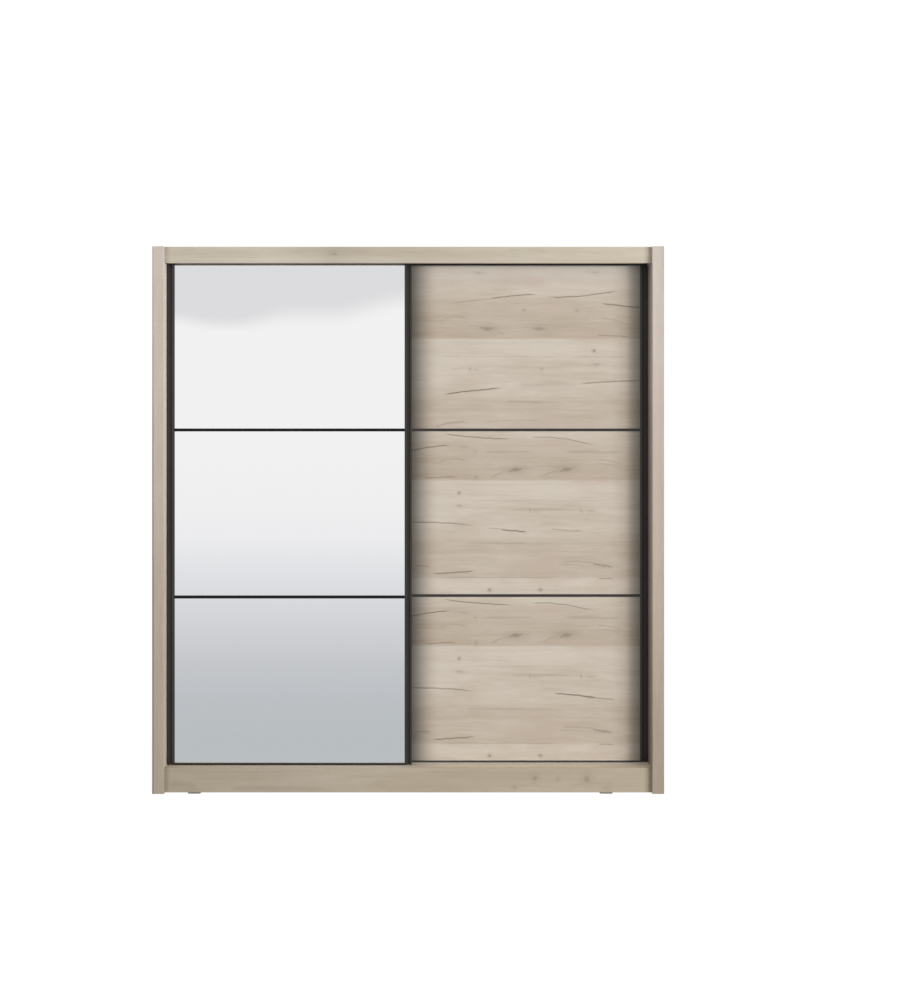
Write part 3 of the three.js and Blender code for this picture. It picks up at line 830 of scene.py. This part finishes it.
def make_materials():
    bottom = marks_group("decor_marks_bottom", SHEET_CRACKS + BOTTOM_CRACKS, SHEET_KNOTS)
    middle = marks_group("decor_marks_middle", SHEET_CRACKS + MIDDLE_CRACKS, SHEET_KNOTS)
    top = marks_group("decor_marks_top", TOP_CRACKS, TOP_KNOTS)
    made = {}
    for index, marks, shift, head in ((1, bottom, 0.0, 0.0), (2, middle, 0.0, 0.0), (3, top, 0.1, 0.6)):
        centre = middle_of(f"wood_panel_{index}")
        made[f"decor_{index}"] = door_decor(f"door_decor_{index}", centre, marks, shift, head)
    # Painted shade: the sides grow dimmer and warmer towards the floor
    tint = foot_shade_painted((0.67, 0.64, 0.58))
    # Painted light on the left side's inner face; on the right side's, painted shade beside the doors and
    # painted light beside fascia and plinth
    # Painted shade down the left side's outer corner
    left = (tint, jamb_light_and_shade(1, 1.25, 1.45), outer_corner_shade(-1, 0.6, 0.9))
    right = (tint, jamb_light_and_shade(-1, 1.0, 0.5, 1.5))
    made["side_left"] = board_decor("board_upright_left", "Z", *UPRIGHT, *left, contrast=1.15)
    made["side_right"] = board_decor("board_upright_right", "Z", *UPRIGHT, *right, contrast=1.15)
    # Painted shade: fascia and plinth grow dimmer towards the floor and at both ends
    level = (foot_shade_painted((0.77, 0.75, 0.72)), board_ends(BOARD_SHADES))
    made["fascia"] = board_decor(
        "board_fascia", "X", *BOARD, *level, drift_along(FASCIA_DRIFT),
        board_marks("decor_marks_fascia", "top_fascia", FASCIA_CRACKS, FASCIA_KNOTS),
    )
    # Painted light on the plinth's top face
    made["plinth"] = board_decor(
        "board_plinth", "X", *BOARD, *level, drift_along(PLINTH_DRIFT), sill_painted_light(1.68),
        board_marks("decor_marks_plinth", "front_plinth", PLINTH_CRACKS, PLINTH_KNOTS),
    )
    made["inside_x"] = board_decor("inside_level", "X", *BOARD)
    # Painted light on the bottom panel's upward face in front of the doors
    made["floor_x"] = board_decor("floor_level", "X", *BOARD, sill_painted_light(1.5))
    made["inside_z"] = board_decor("inside_upright", "Z", *BOARD)
    made["hardboard"] = board_decor("hardboard", "Z", *HARDBOARD, contrast=0.5)
    made["frame"] = frame_paint("frame_paint", *FRAME)
    made["frame_deep"] = frame_paint("frame_paint_shaded", *FRAME_SHADED, specular=0.2)
    made["mirror"] = mirror_glass("mirror_glass")
    brushed = (0.02, 1, 1)
    made["track"] = plain_finish("track_metal", (246, 238, 225), (236, 227, 213), 0.5, 0.1, stretch=brushed)
    made["chrome"] = plain_finish("rail_chrome", (215, 216, 218), (196, 197, 200), 0.08, 1.0, bump=0.005)
    made["steel"] = plain_finish("zinc_steel", (176, 178, 180), (150, 153, 156), 0.32, 1.0)
    made["black"] = plain_finish("black_plastic", (38, 38, 39), (30, 30, 31), 0.55)
    made["rubber"] = plain_finish("gasket_rubber", (30, 30, 30), (24, 24, 24), 0.7)
    made["brush"] = plain_finish("brush_pile", (34, 34, 34), (22, 22, 22), 0.9, bump=0.4, stretch=(1, 1, 6))
    # Dark brown for the hole discs: the bare core, darkened by painted shade
    made["hole"] = plain_finish("bored_hole_shade", (62, 50, 40), (46, 38, 31), 0.9)
    made["white"] = plain_finish("white_plastic", (232, 230, 224), (220, 217, 210), 0.45)
    made["wheel"] = plain_finish("wheel_plastic", (226, 224, 216), (208, 205, 196), 0.4)
    made["foot"] = plain_finish("foot_plastic", (168, 162, 152), (146, 141, 132), 0.6)
    return made


MATERIALS = make_materials()


# ---- carried-over CAD nodes


def dress(node, material, bevel, segments=3):
    """Gives a CAD node its material, and rounds its edges without touching its mesh."""
    piece = NODES[node]
    if not piece.material_slots:
        piece.data.materials.append(MATERIALS[material])
    for place in piece.material_slots:
        place.material = MATERIALS[material]
    weld = piece.modifiers.new("weld", "WELD")
    weld.merge_threshold = 0.01 * MM
    rounding = piece.modifiers.new("rounding", "BEVEL")
    rounding.width = bevel
    rounding.segments = segments
    rounding.limit_method = "ANGLE"
    rounding.angle_limit = math.radians(40)
    rounding.use_clamp_overlap = False
    rounding.harden_normals = False
    normals = piece.modifiers.new("normals", "WEIGHTED_NORMAL")
    normals.keep_sharp = False
    normals.weight = 80


def dress_carcass():
    for side in SIDES:
        dress(f"side_panel_{side}", f"side_{side}", 1.8 * MM, 4)
        dress(f"back_panel_{side}", "hardboard", 0.2 * MM, 2)
        dress(f"hat_shelf_{side}", "inside_x", 0.7 * MM)
        dress(f"rail_socket_{side}", "chrome", 0.4 * MM)
        dress(f"wall_bracket_{side}", "steel", 0.3 * MM, 2)
        dress(f"plinth_foot_{side}", "foot", 0.6 * MM)
    dress("top_fascia", "fascia", 0.9 * MM)
    dress("front_plinth", "plinth", 0.9 * MM)
    dress("top_panel", "inside_x", 0.6 * MM)
    dress("bottom_panel", "floor_x", 0.6 * MM)
    for node in ("rear_plinth", "plinth_brace", "shelf_1", "shelf_2", "shelf_3"):
        dress(node, "inside_x", 0.7 * MM)
    dress("partition", "inside_z", 0.7 * MM)
    dress("back_joint_strip", "white", 0.3 * MM, 2)
    dress("hanging_rail", "chrome", 0.2 * MM, 2)
    dress("lower_track", "track", 0.5 * MM)
    dress("upper_track", "frame", 0.3 * MM, 2)


def dress_doors():
    for index in (1, 2, 3):
        dress(f"wood_panel_{index}", f"decor_{index}", 0.5 * MM, 2)
        dress(f"mirror_panel_{index}", "mirror", 0.5 * MM, 2)
    for kind in KINDS:
        for side in SIDES:
            dress(f"{kind}_door_carriage_{side}", "black", 0.5 * MM)
            dress(f"{kind}_door_guide_{side}", "black", 0.6 * MM)
            dress(f"{kind}_door_axle_{side}", "steel", 0.4 * MM)
            dress(f"{kind}_door_wheel_{side}", "wheel", 0.4 * MM)


# ---- door frames


def stile_loops(box, mirrored):
    """Section of a stile in (x, y): box profile, finger groove in front, slot for the panels."""
    low, high = box
    width = high.x - low.x
    depth = high.y - low.y
    middle = (GRIP_FROM + GRIP_TO) / 2
    reach = (GRIP_TO - GRIP_FROM) / 2
    steps = 20
    points = [(0, 0), (GRIP_FROM - 1.2 * MM, 0)]
    for i in range(steps + 1):
        angle = math.pi * (1 - i / steps)
        points.append((middle + reach * math.cos(angle), GRIP_DEPTH * math.sin(angle) ** 0.8))
    points += [(GRIP_TO + 1.2 * MM, 0), (width, 0), (width, WALL)]
    points += [(width - SLOT_DEPTH, WALL), (width - SLOT_DEPTH, SLOT_BACK), (width, SLOT_BACK)]
    points += [(width, depth), (0, depth)]
    chamber = [
        (WALL, SLOT_BACK + WALL),
        (width - WALL, SLOT_BACK + WALL),
        (width - WALL, depth - WALL),
        (WALL, depth - WALL),
    ]

    def world(point):
        x, y = point
        return (high.x - x if mirrored else low.x + x, low.y + y)

    outer = fillet([world(p) for p in points])
    return [outer, fillet([world(p) for p in chamber])]


def add_stiles(kind):
    for side in SIDES:
        node = f"{kind}_door_stile_{side}"
        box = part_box(node)
        bm = bmesh.new()
        bar(bm, stile_loops(box, side == "right"), "Z", (box[0].z, box[1].z))
        piece = finish_mesh(bm, f"{node}_profile", f"{kind}_door", MATERIALS["frame"])
        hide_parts(node)


def add_bar_piece(kind, node, *outlines):
    """A rail or divider: its section in (y, z), drawn along the CAD node that it replaces."""
    low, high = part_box(node)
    bm = bmesh.new()
    bar(bm, [fillet(outline) for outline in outlines], "X", (low.x, high.x))
    # The mirror door's rails and dividers take the darker copy of the frame paint, a painted shade
    paint = MATERIALS["frame_deep" if kind == "mirror" else "frame"]
    piece = finish_mesh(bm, f"{node}_profile", f"{kind}_door", paint)
    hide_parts(node)


def add_rails(kind):
    node = f"{kind}_door_top_rail"
    low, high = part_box(node)
    y, back = low.y, high.y
    z0, z1 = low.z, high.z
    slot_top = z1 - RAIL_SLOT_TOP
    outer = [
        (y, z0), (y + WALL, z0), (y + WALL, slot_top), (y + SLOT_BACK, slot_top),
        (y + SLOT_BACK, z0), (back, z0), (back, z1), (y, z1),
    ]
    inner = [
        (y + SLOT_BACK + WALL, z0 + WALL), (back - WALL, z0 + WALL),
        (back - WALL, z1 - WALL), (y + SLOT_BACK + WALL, z1 - WALL),
    ]
    add_bar_piece(kind, node, outer, inner)

    node = f"{kind}_door_bottom_rail"
    low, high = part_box(node)
    z0, z1 = low.z, high.z
    web = y + SLOT_BACK + WALL
    outer = [
        (y, z0), (web, z0), (web, z1 - WALL), (back - WALL, z1 - WALL), (back - WALL, z0),
        (back, z0), (back, z1), (y + SLOT_BACK, z1), (y + SLOT_BACK, z0 + WALL),
        (y + WALL, z0 + WALL), (y + WALL, z0 + LIP), (y, z0 + LIP),
    ]
    add_bar_piece(kind, node, outer)

    for index in (1, 2):
        node = f"{kind}_door_divider_{index}"
        low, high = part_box(node)
        middle = (low.z + high.z) / 2
        web_low, web_high = middle - WALL / 2, middle + WALL / 2
        y1, y2, y3 = low.y + WALL, low.y + SLOT_BACK, high.y
        outer = [
            (low.y, low.z), (y1, low.z), (y1, web_low), (y2, web_low), (y2, low.z), (y3, low.z),
            (y3, high.z), (y2, high.z), (y2, web_high), (y1, web_high), (y1, high.z), (low.y, high.z),
        ]
        add_bar_piece(kind, node, outer)


def opening(kind, index):
    """The part of a panel that the frame leaves open: (x0, z0, x1, z1)."""
    door = f"{kind}_door_"
    x0, x1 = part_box(door + "stile_left")[1].x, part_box(door + "stile_right")[0].x
    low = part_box(door + "bottom_rail")[0].z + LIP
    z0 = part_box(door + f"divider_{index - 1}")[1].z if index > 1 else low
    z1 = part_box(door + (f"divider_{index}" if index < 3 else "top_rail"))[0].z
    return x0, z0, x1, z1


def add_gaskets():
    """Soft seals before and behind each glass, which fill the slot and show as a thin lip."""
    slot_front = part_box("mirror_door_stile_left")[0].y + WALL
    slot_back = slot_front + SLOT_BACK - WALL
    gap, edge = 0.02 * MM, 0.1 * MM
    for index in (1, 2, 3):
        low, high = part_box(f"mirror_panel_{index}")
        outer = (low.x + edge, low.z + edge, high.x - edge, high.z - edge)
        x0, z0, x1, z1 = opening("mirror", index)
        inner = (x0 + GASKET_LIP, z0 + GASKET_LIP, x1 - GASKET_LIP, z1 - GASKET_LIP)
        bm = bmesh.new()
        for frame_side, glass_side in ((slot_front + gap, low.y - gap), (slot_back - gap, high.y + gap)):
            slope = glass_side + 0.25 * (frame_side - glass_side)
            section = [(0, frame_side), (0.75, frame_side), (1, slope), (1, glass_side), (0, glass_side)]
            frame_around(bm, section, outer, inner)
        finish_mesh(bm, f"mirror_gasket_{index}", "mirror_door", MATERIALS["rubber"])


def brush_outline(back, tip, middle, root, pile):
    """Section of a pile strip as (outwards, across), from its glued back to the tip of the pile."""
    foot = back + math.copysign(BRUSH_BACK, tip - back)
    half = [(back, BRUSH_HALF), (foot, BRUSH_HALF), (foot, root), (tip, pile)]
    other_half = [(out, middle + aside) for out, aside in reversed(half)]
    return [(out, middle - aside) for out, aside in half] + other_half


def add_brushes():
    """Dust brushes against the sides and between the doors."""
    trim = 4 * MM

    def add_brush(kind, name, outline, z):
        bm = bmesh.new()
        bar(bm, [outline], "Z", z)
        finish_mesh(bm, name, f"{kind}_door", MATERIALS["brush"])

    for kind, side, way in (("mirror", "left", -1), ("wood", "right", 1)):
        low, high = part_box(f"{kind}_door_stile_{side}")
        back = low.x if way < 0 else high.x
        outline = brush_outline(back, back + way * 2.5 * MM, low.y + 14 * MM, 1.2 * MM, 0.7 * MM)
        add_brush(kind, f"{kind}_door_brush", outline, (low.z + trim, high.z - trim))

    low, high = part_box("mirror_door_stile_right")
    outline = brush_outline(high.y, high.y + 6 * MM, (low.x + high.x) / 2, 1.3 * MM, 0.8 * MM)
    below_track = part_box("upper_track")[0].z - 2 * MM
    across_first = [(aside, out) for out, aside in outline]
    add_brush("mirror", "mirror_door_rear_brush", across_first, (low.z + trim, below_track))


# ---- fittings


def spread(start, end, pitch):
    """Evenly spaced values from start to end, about a pitch apart."""
    count = max(1, round((end - start) / pitch))
    return [start + (end - start) * i / count for i in range(count + 1)]


def add_door_screws():
    for kind in KINDS:
        bm = bmesh.new()
        for side, way in (("left", -1), ("right", 1)):
            low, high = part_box(f"{kind}_door_stile_{side}")
            x = low.x if way < 0 else high.x
            for part in ("top_rail", "bottom_rail"):
                z = middle_of(f"{kind}_door_{part}").z
                screw_head(bm, (x, low.y + 22 * MM, z), (way, 0, 0), 3.4 * MM, 1.0 * MM)
            for index in (1, 2):
                z = middle_of(f"{kind}_door_divider_{index}").z
                screw_head(bm, (x, low.y + 6.5 * MM, z), (way, 0, 0), 2.4 * MM, 0.8 * MM)
        finish_mesh(bm, f"{kind}_door_screws", f"{kind}_door", MATERIALS["steel"])


def add_carcass_screws():
    """Screws of the tracks, the wall brackets and the rail sockets."""
    bm = bmesh.new()
    inset, pitch = 60 * MM, 300 * MM
    low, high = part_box("lower_track")
    for x in spread(low.x + inset, high.x - inset, pitch):
        screw_head(bm, (x, (low.y + high.y) / 2, high.z), (0, 0, 1), 3.2 * MM, 0.5 * MM)
    low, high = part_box("upper_track")
    for x, share in product(spread(low.x + inset, high.x - inset, pitch), (0.25, 0.75)):
        y = low.y + share * (high.y - low.y)
        screw_head(bm, (x, y, high.z - WALL), (0, 0, -1), 3.6 * MM, 1.6 * MM)
    for side, way in (("left", 1), ("right", -1)):
        bracket = f"wall_bracket_{side}"
        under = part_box(bracket)[1].z - BRACKET_STEEL
        screw_head(bm, (*middle_of(bracket).xy, under), (0, 0, -1), 5.2 * MM, 2.2 * MM)
        low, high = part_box(f"rail_socket_{side}")
        x = low.x + SOCKET_PLATE if way > 0 else high.x - SOCKET_PLATE
        for z in (low.z + 2.6 * MM, high.z - 2.6 * MM):
            screw_head(bm, (x, (low.y + high.y) / 2, z), (way, 0, 0), 2.0 * MM, 0.9 * MM)
    finish_mesh(bm, "carcass_screws", "carcass", MATERIALS["steel"])


def add_shelf_pins():
    """Shelf pins, and the rows of bored holes that let a shelf be moved. The holes are thin dark discs on
    the face: the brown of the bare core, darkened as painted shade for their depth.
    """
    pins, holes = bmesh.new(), bmesh.new()
    radius, inset, pitch = 2.5 * MM, 45 * MM, 32 * MM
    walls = ((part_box("partition")[1].x, 1), (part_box("hat_shelf_right")[1].x, -1))
    low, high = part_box("shelf_1")
    rows = (low.y + inset, high.y - inset)
    for index, (x, way), y in product((1, 2, 3), walls, rows):
        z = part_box(f"shelf_{index}")[0].z - radius
        pin(pins, (x, y, z), (way, 0, 0), radius, 9 * MM)
        for step in (-3, -2, -1, 1, 2, 3):
            # Each hole is a thin dark disc, painted shade for its depth
            pin(holes, (x, y, z + step * pitch), (way, 0, 0), radius, 0.12 * MM)
    finish_mesh(pins, "shelf_pins", "carcass", MATERIALS["steel"])
    finish_mesh(holes, "pin_holes", "carcass", MATERIALS["hole"])


def add_back_nails():
    """Flat nail heads that hold the two back sheets to the boards behind them."""
    bm = bmesh.new()
    pitch = 150 * MM
    levels = [middle_of(board).z for board in ("bottom_panel", "top_panel", "hat_shelf_left")]
    for side in SIDES:
        low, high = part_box(f"back_panel_{side}")
        outer = low.x + 5 * MM if side == "left" else high.x - 5 * MM
        inner = high.x - 24 * MM if side == "left" else low.x + 24 * MM
        places = [(outer, z) for z in spread(levels[0] + 90 * MM, levels[1] - 90 * MM, pitch)]
        near, far = sorted((outer, inner))
        for z in levels:
            places += [(x, z) for x in spread(near + 30 * MM, far - 10 * MM, pitch)]
        for x, z in places:
            pin(bm, (x, high.y, z), (0, 1, 0), 2.3 * MM, 0.7 * MM, segments=16)
    finish_mesh(bm, "back_nails", "carcass", MATERIALS["steel"])


# ---- stage, light, camera

LENS = 37.8
CAMERA_AT = (0.02, -4.41, 1.44)
CAMERA_SHIFT = (0.0367, -0.0746)

# What the mirrors see: a bright studio below a soft uneven edge, with a greyer area above it.
# The edge is given as tangents of the angles aside and above. It rises in three smooth steps,
# each (from, to, rise), and it is softer to the right of the first one.
STUDIO_BRIGHT = 0.937
STUDIO_GREY = 0.76
EDGE_HEIGHT = 0.0958
EDGE_STEPS = [(-0.17, -0.115, 0.0093), (-0.08, -0.005, 0.0145), (-0.185, -0.23, 0.006)]
EDGE_SOFT = (0.009, 0.014)

# Brightness of the studio for all other light: near eye level, from high above, and the rise between them
LEVEL_LIGHT, HIGH_LIGHT = 1.0, 0.42
HIGH_FROM, HIGH_TO = 0.14, 0.45

FLOOR_HALF = 40.0
FLOOR_BOUNCE = 0.8  # share of light that it sends up
FLOOR_PALE, FLOOR_LIFT = 0.25, 0.92  # its tone to the eye and the glow on top

# The floor in the mirrors, a glowing painted shade: its tone by distance from them, where FLOOR_MIDDLE
# metres is 0.5
MIRROR_SHARE = 0.94  # share of the light that a mirror gives back
MIRROR_FRONT = -0.264
FLOOR_MIDDLE = 4.0
FLOOR_TONES = [
    (0.16, 184, 190, 192), (0.26, 188, 192, 195), (0.35, 195, 198, 201), (0.44, 206, 208, 211),
    (0.524, 215, 217, 219), (0.61, 224, 226, 228), (0.7, 235, 236, 237), (0.78, 238, 239, 239),
    (0.92, 241, 241, 241),
]

KEY_AT = (34.6, -28.8, 3.1)
KEY_SIZE = (17.2, 6.0)
KEY_WATTS = 11100


def add_world():
    world = bpy.data.worlds.new("studio")
    bpy.context.scene.world = world
    world.use_nodes = True
    g = Graph(world.node_tree)
    x, y, z = g.xyz("Generated")
    ahead = g.math("MAXIMUM", g.times(y, -1.0), 0.05)
    rise = g.math("DIVIDE", z, ahead)
    aside = g.math("DIVIDE", x, ahead)
    edge = g.add(EDGE_HEIGHT, *[g.step(aside, start, end, 0.0, up) for start, end, up in EDGE_STEPS])
    soft = g.step(aside, *EDGE_STEPS[0][:2], *EDGE_SOFT)
    above = g.step(g.math("DIVIDE", g.minus(rise, edge), soft), -1.0, 1.0)
    cool = (STUDIO_GREY * 0.99, STUDIO_GREY, STUDIO_GREY * 1.01, 1)
    seen = g.put("Background", {0: g.mix(above, grey(STUDIO_BRIGHT), cool), 1: 1.0})
    level = g.step(z, HIGH_FROM, HIGH_TO, LEVEL_LIGHT, HIGH_LIGHT)
    lighting = g.put("Background", {0: grey(1), 1: level})
    white = g.put("Background", {0: grey(1), 1: 1.05})
    g.surface(g.by_ray(white, seen, lighting), "OutputWorld")


def floor_material():
    """A white floor to the eye; in the mirrors it glows with a painted shade that grows greyer towards the
    wardrobe.
    """
    material, g = new_material("studio_floor")
    ahead = g.math("MAXIMUM", g.minus(MIRROR_FRONT, g.xyz()[1]), 0.0)
    far = g.math("DIVIDE", ahead, g.add(ahead, FLOOR_MIDDLE))
    tones = [(place, rgb(*tone)) for place, *tone in FLOOR_TONES]
    # Painted shade for the mirrors: the floor glows darker near the wardrobe
    mirrored_floor_shade = g.put("Emission", {0: g.ramp(far, tones), 1: 1 / MIRROR_SHARE})
    bounce = g.put("BsdfDiffuse", {0: grey(FLOOR_BOUNCE)})
    pale = g.put("BsdfDiffuse", {0: grey(FLOOR_PALE)})
    lift = g.put("Emission", {0: grey(1), 1: FLOOR_LIFT})
    seen = g.put("AddShader", {0: pale, 1: lift})
    g.surface(g.by_ray(seen, mirrored_floor_shade, bounce))
    return material


def add_floor():
    mesh = bpy.data.meshes.new("floor")
    corners = [(FLOOR_HALF * x, FLOOR_HALF * y, 0) for x, y in ((-1, -1), (1, -1), (1, 1), (-1, 1))]
    mesh.from_pydata(corners, [], [(0, 1, 2, 3)])
    mesh.materials.append(floor_material())
    floor = bpy.data.objects.new("floor", mesh)
    bpy.context.scene.collection.objects.link(floor)


def add_lights():
    """One broad, low light panel from the right. The rest comes from the studio around."""
    data = bpy.data.lights.new("key", "AREA")
    data.shape = "RECTANGLE"
    data.size, data.size_y = KEY_SIZE
    data.energy = KEY_WATTS
    light = bpy.data.objects.new("key", data)
    light.location = KEY_AT
    light.rotation_euler = Vector((KEY_AT[0], KEY_AT[1], 0)).to_track_quat("Z", "Y").to_euler()
    light.visible_glossy = False
    light.visible_camera = False
    bpy.context.scene.collection.objects.link(light)


def add_camera():
    data = bpy.data.cameras.new("camera")
    data.lens = LENS
    data.sensor_width = 36
    data.shift_x, data.shift_y = CAMERA_SHIFT
    data.clip_end = 200
    camera = bpy.data.objects.new("camera", data)
    camera.location = CAMERA_AT
    camera.rotation_euler = (math.radians(90), 0, 0)
    bpy.context.scene.collection.objects.link(camera)
    bpy.context.scene.camera = camera


add_camera()
add_world()
add_floor()
add_lights()
dress_carcass()
dress_doors()
for kind in KINDS:
    add_stiles(kind)
    add_rails(kind)
add_gaskets()
add_brushes()
add_door_screws()
add_carcass_screws()
add_shelf_pins()
add_back_nails()

bpy.context.scene.view_settings.view_transform = "Standard"
